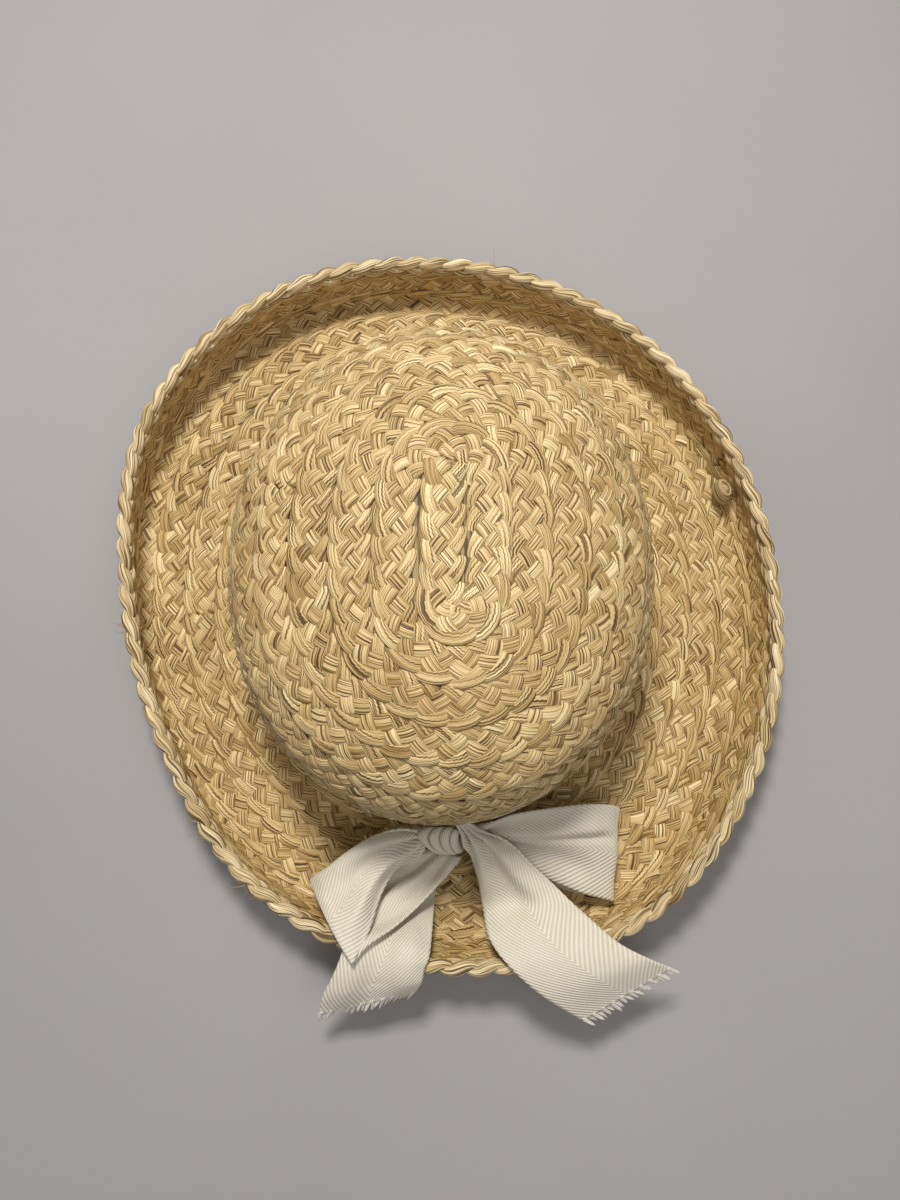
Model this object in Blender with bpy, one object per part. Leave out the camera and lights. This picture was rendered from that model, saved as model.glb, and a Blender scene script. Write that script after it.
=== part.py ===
"""A raffia boater hat: plaited crown, upturned plaited brim, rope-like rim and a ribbon bow.

The hat rests on the underside of its brim. The bow is at the front, towards -Y.
"""
import math

import bmesh
import bpy
from mathutils import Vector

MM = 0.001

# Crown: an oval dome over a nearly upright wall
CROWN_HALF_WIDTH = 92 * MM
CROWN_HEIGHT = 106 * MM
WIDEST_HEIGHT = 55 * MM
BASE_PULL_IN = 5 * MM
DOME_ROUNDNESS = 2.4
CORE_STRETCH = 24 * MM
WIDEST_STRETCH = 17 * MM
CROWN_SHIFT = -4 * MM
CROWN_WALL = 3 * MM
CROWN_CAP = 3 * MM
OUTLINE_STEPS = 90
TOP_ROWS = 4.5
SHOULDER_ROWS = 6
TOP_INNER_STEPS = 5
SHOULDER_INNER_STEPS = 3
SIDE_INNER_STEPS = 4

# Brim: a flat floor, a crease and an upturned wall
BRIM_THICKNESS = 3 * MM
CREASE_BEND = 8 * MM
CREASE_STEPS = 12
BRIM_ROWS = 5
FLOOR_ROWS = 3
WALL_START = 3 * MM
CREASE_GAP = 0.6 * MM
RIM_RADIUS = 4.5 * MM

# Plait rows: each row laps over the start of the next
ROW_PITCH = 16.7 * MM
CORE_HALF_WIDTH = 9.5 * MM
ROW_STEP = 1.1 * MM
LIP_TO_TOE = 1.6 * MM

# Ribbon
RIBBON_THICKNESS = 1.2 * MM
SPAN_STEPS = 2
ACROSS = (-1.0, -0.5, 0.0, 0.5, 1.0)

# Hat band: height over the brim and slack of the cloth, from its top edge to its bottom edge
BAND_THICKNESS = 1 * MM
BAND_SHAPE = (
    (37.7 * MM, 0.0),
    (27.2 * MM, 0.35 * MM),
    (13.2 * MM, 0.0),
    (0.7 * MM, 0.35 * MM),
)

GAP = 0.3 * MM
COLUMNS = 60
SHARP_EDGE = math.radians(50)

# Rim plait
RIM_LOBES = 86
RIM_SIDES = 5
RIM_WAIST = 0.8

# Brim by compass angle, in millimetres: reach of the crease, reach of the rim, height of the rim
BRIM_COLUMNS = ("angle", "crease", "rim", "height")
BRIM = (
    (0, 147, 155, 28),
    (30, 149, 155, 28.5),
    (60, 154, 160.5, 29),
    (90, 158, 168, 28),
    (120, 172, 174.5, 29.5),
    (150, 168, 172, 29),
    (180, 156, 155, 29.5),
    (210, 152, 152.5, 29.5),
    (240, 159.5, 165.5, 28.5),
    (270, 162, 174, 27),
    (300, 166, 175.5, 28),
    (330, 152, 165, 26),
)

# Ribbons by station from the knot, in millimetres: back edge, front edge, rise of the middle
RIBBON_COLUMNS = ("back x", "back y", "back z", "front x", "front y", "front z", "arch")
LEFT_LOOP = (
    (-13.7, -112, 34.5, -12.2, -118, 28, 0.5),
    (-22, -112, 36, -16, -125, 27, 2),
    (-34, -115, 35, -23, -130, 25, 3),
    (-46, -122, 30, -29, -140, 28, 3),
    (-55, -129, 24, -34, -154, 36, 4),
    (-62, -134, 17, -40, -165, 40, 6),
    (-62.5, -136, 13, -40, -166, 38.7, 7),
    (-58, -140, 9, -35, -160, 37.5, 6),
    (-40, -136, 8, -23, -153, 28, 3),
    (-26, -130, 12, -10, -142, 18, 1),
    (-15, -122, 20, 5.5, -127.5, 19.5, 0),
)
RIGHT_LOOP = (
    (5.3, -112, 29, 5.8, -118, 24, 0.5),
    (17, -108, 32, 15, -122, 23, 1),
    (29, -105, 34, 29, -127, 20, 3),
    (43, -103, 32, 46, -134, 17, 3),
    (61, -101, 28, 62, -141, 14, 2),
    (74, -102, 22, 72, -144, 11.5, 1),
    (77, -104, 17, 74, -145, 9, 0),
    (74, -105, 11, 70, -143, 6.5, 0),
    (61, -107, 8, 56, -141, 5, 0),
    (41, -111, 11, 37, -135, 6, 0),
    (22, -114, 17, 18, -127, 13, 0),
    (11, -115, 20, 10, -122, 18, 0),
)
LEFT_TAIL = (
    (-6, -118.5, 17.5, 2, -119, 17.5, 0),
    (-21, -134, 8, -5, -136, 8, 0),
    (-33, -148, 10, -7, -145, 8, 1),
    (-42, -155, 29.5, -8, -158, 26, 0),
    (-45, -161, 33.6, -9, -165, 33, 0),
    (-49, -171, 33.4, -11, -170, 33.4, 0),
    (-54, -181, 29, -12, -175, 31, 0),
    (-57, -190, 21, -15, -180, 26, 0),
)
RIGHT_TAIL = (
    (5, -114, 35.5, 13, -111.5, 37, 0),
    (8, -123, 31, 25, -117, 36, 1),
    (13, -136, 19, 37, -129, 30, 2),
    (15, -146, 14, 51, -141, 26, 3),
    (17, -158, 27, 62, -151, 32, 2),
    (25, -168, 35.5, 72, -159, 34.5, 1),
    (39, -180, 34, 84, -165, 34, 1),
    (57, -192, 24, 95, -170, 28, 0),
)

# Bow knot by station from its top, in millimetres: centre x, y, z, half width, half depth
KNOT = (
    (-5.5, -113.6, 39.5, 5, 2),
    (-5.2, -113.8, 38.5, 8, 4),
    (-4.5, -114.6, 35, 9, 4.8),
    (-3.2, -116, 29, 7.8, 5.2),
    (-1.8, -118.6, 23, 6.4, 5),
    (0.4, -120.6, 19.5, 5.2, 3.5),
    (1, -121.2, 18.7, 3, 1.5),
)
KNOT_SIDES = 14
KNOT_PLEAT = 0.5 * MM

# Wound end of the rim's plait, on the inside of the brim wall
WRAP_ANGLE = 20
WRAP_DEPTH = 8.5 * MM
WRAP_HALF_LENGTH = 7.8 * MM
WRAP_HALF_WIDTH = 7 * MM
WRAP_HALF_DEPTH = 3.8 * MM
WRAP_TURNS = 4
WRAP_SIDES = 10
WRAP_END = 0.97
WRAP_GROOVE = 0.6 * MM

RAFFIA = (0.72, 0.52, 0.27)
RAFFIA_RIM = (0.76, 0.58, 0.32)
COTTON = (0.80, 0.76, 0.66)


def clear_scene():
    """Start from an empty scene."""
    for thing in list(bpy.data.objects):
        bpy.data.objects.remove(thing, do_unlink=True)


def cloth(name, colour, roughness):
    """A plain material for one piece."""
    material = bpy.data.materials.new(name)
    material.use_nodes = True
    shader = material.node_tree.nodes["Principled BSDF"]
    shader.inputs["Base Color"].default_value = (*colour, 1.0)
    shader.inputs["Roughness"].default_value = roughness
    shader.inputs["Metallic"].default_value = 0.0
    return material


def skin(name, rings, material, closed=False):
    """A solid skinned over rings of points. A closed one joins its last ring to its first."""
    mesh = bmesh.new()
    rows = [[mesh.verts.new(point) for point in ring] for ring in rings]
    size = len(rows[0])
    pairs = list(zip(rows, rows[1:]))
    if closed:
        pairs.append((rows[-1], rows[0]))
    for near, far in pairs:
        for k in range(size):
            nxt = (k + 1) % size
            mesh.faces.new((near[k], near[nxt], far[nxt], far[k]))
    if not closed:
        mesh.faces.new(rows[0])
        mesh.faces.new(list(reversed(rows[-1])))
    bmesh.ops.recalc_face_normals(mesh, faces=mesh.faces)
    bmesh.ops.triangulate(mesh, faces=mesh.faces)
    if mesh.calc_volume(signed=True) < 0:
        bmesh.ops.reverse_faces(mesh, faces=mesh.faces)
    data = bpy.data.meshes.new(name)
    mesh.to_mesh(data)
    mesh.free()
    data.materials.append(material)
    data.shade_smooth()
    data.set_sharp_from_angle(angle=SHARP_EDGE)
    thing = bpy.data.objects.new(name, data)
    bpy.context.collection.objects.link(thing)
    return thing


def curve_through(before, start, end, after, t):
    """A smooth value between start and end, by the Catmull-Rom rule."""
    return 0.5 * (
        2 * start
        + (end - before) * t
        + (2 * before - 5 * start + 4 * end - after) * t * t
        + (3 * start - 3 * end + after - before) * t ** 3
    )


def brim_size(angle, column):
    """A column of the brim table at any compass angle, in metres."""
    step = 360 / len(BRIM)
    place = math.degrees(angle) % 360 / step
    row = int(place) % len(BRIM)
    k = BRIM_COLUMNS.index(column)
    values = [BRIM[(row + n) % len(BRIM)][k] for n in (-1, 0, 1, 2)]
    return curve_through(*values, place - int(place)) * MM


def dome_outline():
    """Reach and height of the crown's outer face, from its top centre down to the brim."""
    points = []
    for k in range(OUTLINE_STEPS + 1):
        turn = math.pi / 2 * k / OUTLINE_STEPS
        reach = CROWN_HALF_WIDTH * math.sin(turn) ** (2 / DOME_ROUNDNESS)
        rise = (CROWN_HEIGHT - WIDEST_HEIGHT) * math.cos(turn) ** (2 / DOME_ROUNDNESS)
        points.append(Vector((reach, WIDEST_HEIGHT + rise)))
    bottom = BRIM_THICKNESS + GAP
    for k in range(1, OUTLINE_STEPS + 1):
        fall = k / OUTLINE_STEPS
        height = WIDEST_HEIGHT + (bottom - WIDEST_HEIGHT) * fall
        points.append(Vector((CROWN_HALF_WIDTH - BASE_PULL_IN * fall ** 1.5, height)))
    return points


def length_of(points):
    """Length of a chain of points."""
    return sum((b - a).length for a, b in zip(points, points[1:]))


def place_along(points, distance):
    """The point at a distance along a chain, and the direction square to it on its left."""
    for a, b in zip(points, points[1:]):
        step = (b - a).length
        if distance <= step or b is points[-1]:
            ahead = (b - a).normalized()
            return a + ahead * distance, Vector((-ahead.y, ahead.x))
        distance -= step


def oval_point(turn, reach, height):
    """A point on the crown's oval section, a circle stretched from front to back."""
    share = reach / CROWN_HALF_WIDTH
    stretch = CORE_STRETCH + (WIDEST_STRETCH - CORE_STRETCH) * share
    softness = 0.1 + 0.9 * share
    side = math.sin(turn)
    bulge = side * math.sqrt(1 + softness ** 2) / math.sqrt(side ** 2 + softness ** 2)
    x = reach * math.cos(turn) + CROWN_SHIFT * share
    return Vector((x, reach * side + stretch * bulge, height))


def oval_ring(reach, height):
    """One closed oval round the crown."""
    return [oval_point(math.tau * k / COLUMNS, reach, height) for k in range(COLUMNS)]


def crown_place(rows):
    """Distance along the crown's outline of the edge of a number of rows."""
    return CORE_HALF_WIDTH + rows * ROW_PITCH


def crown_face(start, end):
    """Outer rings of part of the crown, with a step where each row laps over the next."""
    places = [(start, 0.0)]
    lip = CORE_HALF_WIDTH
    while lip + LIP_TO_TOE < end:
        if lip > start:
            places.append((lip, 0.0))
            places.append((lip + LIP_TO_TOE, -ROW_STEP))
        lip += ROW_PITCH
    places.append((end, 0.0))
    return crown_rings(places)


def crown_rings(places):
    """Ovals at places along the crown's outline, each with its distance out of the face."""
    outline = dome_outline()
    rings = []
    for distance, out in places:
        spot, outward = place_along(outline, distance)
        spot = spot + outward * out
        rings.append(oval_ring(spot.x, spot.y))
    return rings


def crown_lining(start, end, steps):
    """Inner rings of part of the crown, from its lower edge back up."""
    places = [(end + (start - end) * k / steps, -CROWN_WALL) for k in range(steps + 1)]
    return crown_rings(places)


def crown_top():
    """The plaited top of the crown's dome."""
    end = crown_place(TOP_ROWS)
    rings = crown_face(CROWN_CAP, end) + crown_lining(CROWN_CAP, end, TOP_INNER_STEPS)
    return skin("crown_top", rings, cloth("raffia_crown_top", RAFFIA, 0.75))


def crown_shoulder():
    """The rounded turn between the crown's top and its side."""
    start = crown_place(TOP_ROWS) + GAP
    end = crown_place(SHOULDER_ROWS)
    rings = crown_face(start, end) + crown_lining(start, end, SHOULDER_INNER_STEPS)
    return skin("crown_shoulder", rings, cloth("raffia_crown_shoulder", RAFFIA, 0.75), closed=True)


def crown_side():
    """The plaited side of the crown, from its shoulder to the brim."""
    start = crown_place(SHOULDER_ROWS) + GAP
    end = length_of(dome_outline())
    rings = crown_face(start, end) + crown_lining(start, end, SIDE_INNER_STEPS)
    return skin("crown_side", rings, cloth("raffia_crown_side", RAFFIA, 0.75), closed=True)


def brim_outline(angle, start):
    """Reach and height of the middle of the brim along one compass angle, from its inner edge."""
    level = BRIM_THICKNESS / 2
    crease = Vector((brim_size(angle, "crease"), level))
    rim = Vector((brim_size(angle, "rim") - RIM_RADIUS, brim_size(angle, "height")))
    up = (rim - crease).normalized()
    top = rim - up * (RIM_RADIUS + GAP)
    before = crease - Vector((CREASE_BEND, 0))
    after = crease + up * CREASE_BEND
    points = [Vector((start, level))]
    for k in range(CREASE_STEPS + 1):
        t = k / CREASE_STEPS
        points.append(before * (1 - t) ** 2 + crease * 2 * t * (1 - t) + after * t ** 2)
    points.append(top)
    return points


def brim_section(turn, wall):
    """The closed outline of the brim's floor or wall at one turn of the crown's oval."""
    inner = oval_point(turn, CROWN_HALF_WIDTH - BASE_PULL_IN - CROWN_WALL, 0)
    angle = math.atan2(inner.y, inner.x)
    outline = brim_outline(angle, inner.length)
    total = length_of(outline)
    crease = brim_size(angle, "crease") - inner.length - WALL_START
    half = BRIM_THICKNESS / 2
    if wall:
        start, end = crease + CREASE_GAP, total
        rows = range(FLOOR_ROWS + 1, BRIM_ROWS)
        under = [total, total - ROW_PITCH / 2, total - ROW_PITCH, start]
    else:
        start, end = 0.0, crease
        rows = range(1, FLOOR_ROWS + 1)
        under = [crease, crease - CREASE_BEND, 0.0]
    top = [(start, 0.0)]
    for row in rows:
        lip = total * row / BRIM_ROWS
        top.append((lip, 0.0))
        top.append((lip + LIP_TO_TOE, -ROW_STEP))
    if wall:
        top.append((total - ROW_PITCH / 2, 0.0))
    top.append((end, 0.0))
    section = []
    for distance, sink in top:
        spot, upward = place_along(outline, distance)
        section.append(spot + upward * (half + sink))
    for distance in under:
        spot, upward = place_along(outline, distance)
        section.append(spot - upward * half)
    return [Vector((p.x * math.cos(angle), p.x * math.sin(angle), p.y)) for p in section]


def brim_floor():
    """The flat ring of plait rows that the hat rests on."""
    sections = [brim_section(math.tau * k / COLUMNS, False) for k in range(COLUMNS)]
    return skin("brim_floor", sections, cloth("raffia_brim_floor", RAFFIA, 0.8), closed=True)


def brim_wall():
    """The upturned edge of the brim, from the crease to the rim."""
    sections = [brim_section(math.tau * k / COLUMNS, True) for k in range(COLUMNS)]
    return skin("brim_wall", sections, cloth("raffia_brim_wall", RAFFIA, 0.8), closed=True)


def rim_centre(angle):
    """The middle of the rim's plait at a compass angle."""
    reach = brim_size(angle, "rim") - RIM_RADIUS
    return Vector((reach * math.cos(angle), reach * math.sin(angle), brim_size(angle, "height")))


def rim_braid():
    """The rope-like plait that finishes the edge: a lobe for each strand that comes to the top."""
    rings = []
    for k in range(2 * RIM_LOBES):
        angle = math.tau * k / (2 * RIM_LOBES)
        radius = RIM_RADIUS if k % 2 else RIM_RADIUS * RIM_WAIST
        centre = rim_centre(angle)
        outward = Vector((math.cos(angle), math.sin(angle), 0))
        ring = []
        for side in range(RIM_SIDES):
            turn = math.tau * side / RIM_SIDES + math.pi / 2
            around = outward * math.cos(turn) + Vector((0, 0, math.sin(turn)))
            ring.append(centre + around * radius)
        rings.append(ring)
    return skin("rim_braid", rings, cloth("raffia_rim", RAFFIA_RIM, 0.7), closed=True)


def rim_knot():
    """The wound end of the rim's plait, lying against the brim's wall."""
    angle = math.radians(WRAP_ANGLE)
    outline = brim_outline(angle, CROWN_HALF_WIDTH)
    total = length_of(outline)
    outward = Vector((math.cos(angle), math.sin(angle), 0))
    sideways = Vector((-math.sin(angle), math.cos(angle), 0))
    spot, inward = place_along(outline, total - WRAP_DEPTH)
    clear = BRIM_THICKNESS / 2 + 2 * GAP + WRAP_HALF_DEPTH
    middle = spot + inward * clear
    inward_3d = outward * inward.x + Vector((0, 0, inward.y))
    upward_3d = inward_3d.cross(sideways).normalized()
    if upward_3d.z < 0:
        upward_3d = -upward_3d
    centre = outward * middle.x + Vector((0, 0, middle.y))
    steps = 2 * WRAP_TURNS
    rings = []
    for k in range(steps + 1):
        along = WRAP_END * math.sin(math.pi * (k / steps - 0.5))
        girth = math.sqrt(1 - along ** 2)
        groove = WRAP_GROOVE if k % 2 else 0.0
        ring = []
        for side in range(WRAP_SIDES):
            turn = math.tau * side / WRAP_SIDES
            wide = sideways * math.cos(turn) * (WRAP_HALF_WIDTH - groove) * girth
            deep = inward_3d * math.sin(turn) * (WRAP_HALF_DEPTH - groove) * girth
            ring.append(centre + upward_3d * along * WRAP_HALF_LENGTH + wide + deep)
        rings.append(ring)
    return skin("rim_knot", rings, cloth("raffia_knot", RAFFIA_RIM, 0.75))


def hat_band():
    """The ribbon round the foot of the crown, hidden from above by the crown's overhang."""
    outline = dome_outline()
    total = length_of(outline)
    rings = []
    for height, slack in BAND_SHAPE:
        spot, outward = place_along(outline, total - height)
        spot = spot + outward * (GAP + BAND_THICKNESS + slack)
        rings.append(oval_ring(spot.x, spot.y))
    for height, _ in reversed(BAND_SHAPE):
        spot, outward = place_along(outline, total - height)
        spot = spot + outward * GAP
        rings.append(oval_ring(spot.x, spot.y))
    return skin("hat_band", list(zip(*rings)), cloth("cotton_band", COTTON, 0.85), closed=True)


def ribbon_value(stations, column, place):
    """A column of a ribbon's table at any place along it, in metres."""
    last = len(stations) - 1
    row = min(int(place), last - 1)
    k = RIBBON_COLUMNS.index(column)
    values = [stations[min(max(row + n, 0), last)][k] for n in (-1, 0, 1, 2)]
    return curve_through(*values, place - row) * MM


def ribbon_edge(stations, edge, place):
    """A point on the back or the front edge of a ribbon."""
    return Vector([ribbon_value(stations, edge + axis, place) for axis in (" x", " y", " z")])


def ribbon(name, stations):
    """A ribbon of even thickness that follows its stations."""
    last = len(stations) - 1
    places = [k / SPAN_STEPS for k in range(last * SPAN_STEPS + 1)]
    backs = [ribbon_edge(stations, "back", place) for place in places]
    fronts = [ribbon_edge(stations, "front", place) for place in places]
    rings = []
    for k, place in enumerate(places):
        nxt = min(k + 1, len(places) - 1)
        prev = max(k - 1, 0)
        ahead = (backs[nxt] + fronts[nxt]) - (backs[prev] + fronts[prev])
        normal = (fronts[k] - backs[k]).cross(ahead).normalized()
        arch = ribbon_value(stations, "arch", place)
        top = []
        under = []
        for side in ACROSS:
            spot = backs[k].lerp(fronts[k], 0.5 + 0.5 * side)
            spot.z += arch * (1 - side ** 2)
            top.append(spot + normal * RIBBON_THICKNESS / 2)
            under.append(spot - normal * RIBBON_THICKNESS / 2)
        rings.append(top + under[::-1])
    return skin(name, rings, cloth("cotton_" + name, COTTON, 0.85))


def bow_knot():
    """The wrap that holds the bow, with upright pleats."""
    rings = []
    for x, y, z, half_width, half_depth in KNOT:
        ring = []
        for side in range(KNOT_SIDES):
            turn = math.tau * side / KNOT_SIDES
            pleat = KNOT_PLEAT if side % 2 else 0.0
            wide = (half_width * MM - pleat) * math.cos(turn)
            deep = (half_depth * MM - pleat) * math.sin(turn)
            ring.append(Vector((x * MM + wide, y * MM + deep, z * MM)))
        rings.append(ring)
    return skin("bow_knot", rings, cloth("cotton_knot", COTTON, 0.85))


def centre_on_origin(pieces):
    """Move every piece together so that the middle of the whole hat stands over the origin."""
    corners = [vert.co for piece in pieces for vert in piece.data.vertices]
    middle_x = (min(c.x for c in corners) + max(c.x for c in corners)) / 2
    middle_y = (min(c.y for c in corners) + max(c.y for c in corners)) / 2
    for piece in pieces:
        piece.location = (-middle_x, -middle_y, 0)


def main():
    """Build every piece of the hat."""
    clear_scene()
    pieces = [
        crown_top(),
        crown_shoulder(),
        crown_side(),
        brim_floor(),
        brim_wall(),
        rim_braid(),
        rim_knot(),
        hat_band(),
        bow_knot(),
        ribbon("left_loop", LEFT_LOOP),
        ribbon("right_loop", RIGHT_LOOP),
        ribbon("left_tail", LEFT_TAIL),
        ribbon("right_tail", RIGHT_TAIL),
    ]
    centre_on_origin(pieces)


main()
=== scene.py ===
"""A raffia boater hat, dressed: every strand of its plait, its rope-like rim and its ribbon bow."""
import math

import bpy
import numpy as np
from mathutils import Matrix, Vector


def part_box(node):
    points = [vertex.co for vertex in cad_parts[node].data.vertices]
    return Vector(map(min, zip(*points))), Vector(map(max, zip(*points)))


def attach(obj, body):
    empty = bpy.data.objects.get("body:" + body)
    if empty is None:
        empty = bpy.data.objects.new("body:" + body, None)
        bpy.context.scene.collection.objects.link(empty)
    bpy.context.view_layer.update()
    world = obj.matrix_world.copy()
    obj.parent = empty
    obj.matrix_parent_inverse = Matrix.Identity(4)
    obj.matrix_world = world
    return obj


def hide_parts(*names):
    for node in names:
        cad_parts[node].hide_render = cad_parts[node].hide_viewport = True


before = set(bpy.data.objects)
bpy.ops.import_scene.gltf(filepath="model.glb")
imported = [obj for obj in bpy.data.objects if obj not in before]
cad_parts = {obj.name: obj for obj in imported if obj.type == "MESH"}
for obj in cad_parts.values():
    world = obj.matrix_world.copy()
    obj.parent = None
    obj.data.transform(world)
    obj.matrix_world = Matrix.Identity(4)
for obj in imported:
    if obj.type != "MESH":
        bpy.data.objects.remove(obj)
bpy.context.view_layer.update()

MM = 0.001
SEED = 7
UP = np.array([0.0, 0.0, 1.0])
WHITE = (1.0, 1.0, 1.0)

# Camera, as far from the hat and as steep as the photograph's
CAMERA_LENS = 27
CAMERA_SENSOR = 36
CAMERA_FORWARD = 94.25 * MM
CAMERA_HEIGHT = 439.26 * MM
CAMERA_TILT = math.radians(11.79)

# Light: name, place, size, power and colour of each lamp, then the surround and the floor
LAMPS = (
    ("key_light", (-0.09, 0.46, 0.95), 0.2, 10.0, (1.0, 0.96, 0.9)),
    ("fill_light", (0.3, -0.4, 0.9), 0.5, 1.6, (1.0, 0.97, 0.93)),
)
LAMP_AIM = 50 * MM
SURROUND_COLOUR = (0.96, 0.935, 0.89, 1.0)
SURROUND_STRENGTH = 0.29
FLOOR_HALF = 3.0
FLOOR_DROP = 0.2 * MM
FLOOR_COLOURS = ((0.3, (0.33, 0.32, 0.33)), (0.7, (0.37, 0.36, 0.37)))

# Colours of raffia: its pale, middle and dark strands, and the underlay's straw darkened with painted
# shade
CROWN_STRAW = ((0.93, 0.79, 0.48), (0.80, 0.63, 0.34), (0.58, 0.42, 0.19))
BRIM_STRAW = ((0.92, 0.76, 0.44), (0.78, 0.60, 0.30), (0.56, 0.39, 0.16))
RIM_STRAW = ((0.92, 0.81, 0.57), (0.80, 0.67, 0.42), (0.58, 0.45, 0.24))
SHADED_STRAW = ((0.36, 0.26, 0.12), (0.27, 0.18, 0.07), (0.17, 0.11, 0.04))
LINE_COLOURS = ((0.39, (0.07, 0.04, 0.01)), (0.47, (0.60, 0.49, 0.32)), (0.57, WHITE))
BAND_COLOURS = ((0.32, (0.72, 0.62, 0.46)), (0.55, WHITE))

# Weathering of the crown and painted shade at its front, in metres: where each begins and where it is
# full
WEAR_AND_SHADE_HEIGHT = (0.088, 0.045)
WEAR_AND_SHADE_SIDE = (-0.035, -0.085)
WORN_GREY = (0.52, 0.44, 0.30)
# The dim colour and the dim share below are painted shade at the crown's front
PAINTED_SHADE_COLOUR = (0.52, 0.50, 0.44)
GREY_SHARE = 0.5
PAINTED_SHADE_SHARE = 0.62

# Colours of cotton: the twill's ribs, its threads, its clouds, the painted shade in its creases, and the
# loose thread
RIB_COLOURS = ((0.0, (0.64, 0.60, 0.50)), (0.4, (0.74, 0.70, 0.60)), (1.0, (0.83, 0.79, 0.69)))
TWIST_COLOURS = ((0.3, (0.7, 0.68, 0.62)), (0.6, WHITE))
CLOUD_COLOURS = ((0.35, (0.88, 0.85, 0.78)), (0.65, WHITE))
PAINTED_CREASE_SHADE = ((0.1, (0.42, 0.37, 0.30)), (0.7, WHITE))
THREAD_COLOURS = ((0.3, (0.62, 0.58, 0.50)), (0.6, (0.86, 0.84, 0.78)))

# Crown, as in the model
CROWN_HALF_WIDTH = 92 * MM
CROWN_HEIGHT = 106 * MM
WIDEST_HEIGHT = 55 * MM
BASE_PULL_IN = 5 * MM
DOME_ROUNDNESS = 2.4
CORE_STRETCH = 24 * MM
WIDEST_STRETCH = 17 * MM
CROWN_SHIFT = -4 * MM
CROWN_FOOT = 3.3 * MM
HALF_WALL = 1.5 * MM

# Brim, as in the model: compass angle, reach of the crease, reach of the rim, height of the rim (mm)
BRIM_COLUMNS = ("angle", "crease", "rim", "height")
BRIM = (
    (0, 147, 155, 28),
    (30, 149, 155, 28.5),
    (60, 154, 160.5, 29),
    (90, 158, 168, 28),
    (120, 172, 174.5, 29.5),
    (150, 168, 172, 29),
    (180, 156, 155, 29.5),
    (210, 152, 152.5, 29.5),
    (240, 159.5, 165.5, 28.5),
    (270, 162, 174, 27),
    (300, 166, 175.5, 28),
    (330, 152, 165, 26),
)
CREASE_BEND = 8 * MM
RIM_RADIUS = 4.5 * MM
GAP = 0.3 * MM
FLOOR_CLEARANCE = 0.9 * MM

# Plait: five strands, one over and one under, sewn in a spiral from the crown's middle outwards
ROW_PITCH = 16.7 * MM
PLAIT_WIDTH = 18.4 * MM
STRANDS = 5
LOBE_PITCH = 10.4 * MM
STRAND_WIDTH = 6.8 * MM
EDGE_WIDTH = 4.8 * MM
STRAND_THICKNESS = 1.55 * MM
WEAVE_LIFT = 0.8 * MM
ROW_TILT = 1.3 * MM
STEPS_PER_CROSSING = 3
STRAND_SIDES = 12
STRAND_RIDGE = 0.13
CROSSING_PLACES = (0.0, 0.12, 0.32, 0.7, 0.88, 1.0)
CROSSING_SLOPES = (0.5, 0.8, 1.65, 1.65, 0.55, 0.4)
WEAVE_PLACES = (-1, 0.35, 1, 2, 3, 4, 5.35, 6, 7, 8, 9, 11)
WEAVE_HEIGHTS = (-1, 0.85, 1, -1, 1, -1, 0.85, 1, -1, 1, -1, 1)
START_TURN = math.radians(168)
END_TURN = math.radians(330)
KNOT_TURN = math.radians(20)
SPIRAL_TURNS = 14
SPIRAL_LAG = 0.25
CORE_SHIFT = 0.1
CORE_TUCK = 10
STRAIGHT_ROWS, BLEND_ROWS = 0.9, 0.6
UNDERLAY_TURNS = 120
UNDERLAY_ROW_STEPS = 5
UNDERLAY_DEPTH = 0.25 * MM
UNDERLAY_THICKNESS = 0.6 * MM
UNDERLAY_RISE = 0.2
TOP_ROW = 0.56
RING_LIFT = -0.5 * MM
RING_TILT = -0.4 * MM
CORE_END, SHOULDER_END = 0.42, 0.68
CROWN_TUCK = 0.3
INNER_BRIM = 0.4

# How uneven the plait is: steps from one change to the next, and their size
DRIFT = (60, 0.35 * MM)
UNEVEN_PHASE = (24, 0.07)
UNEVEN_SWING = (30, 0.03)
UNEVEN_HEIGHT = (16, 0.12 * MM)
UNEVEN_WIDTH = (20, 0.05)
UNEVEN_TONE = (45, 0.22)
STREAKS = (9, 0.08)

# Ribbon by station from the knot, in millimetres: back edge, front edge, rise of the middle
RIBBON_WIDTH = 44 * MM
RIBBON_THICKNESS = 0.9 * MM
RIBBON_COLUMNS = ("back x", "back y", "back z", "front x", "front y", "front z", "arch")
LEFT_LOOP = (
    (-13.7, -112, 34.5, -12.2, -118, 28, 0.5),
    (-22, -112, 36, -16, -125, 27, 2),
    (-34, -115, 35, -23, -130, 25, 3),
    (-46, -122, 30, -29, -140, 28, 3),
    (-55, -129, 24, -34, -154, 36, 4),
    (-62, -134, 17, -40, -165, 40, 6),
    (-62.5, -136, 13, -40, -166, 38.7, 7),
    (-58, -140, 9, -35, -160, 37.5, 6),
    (-40, -136, 8, -23, -153, 28, 3),
    (-26, -130, 12, -10, -142, 18, 1),
    (-14, -120.8, 20, 5.5, -124.8, 19.5, 0),
)
RIGHT_LOOP = (
    (5.3, -112, 29, 5.8, -118, 24, 0.5),
    (17, -108, 32, 15, -122, 23, 1),
    (29, -105, 34, 29, -127, 20, 3),
    (43, -103, 32, 46, -134, 17, 3),
    (61, -101, 28, 62, -141, 14, 2),
    (74, -102, 22, 72, -144, 11.5, 1),
    (77, -104, 17, 74, -145, 9, 0),
    (74, -105, 11, 70, -143, 6.5, 0),
    (61, -107, 8, 56, -141, 5, 0),
    (41, -111, 11, 37, -135, 6, 0),
    (22, -114, 17, 18, -127, 13, 0),
    (11, -115, 20, 10, -122, 18, 0),
)
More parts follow.
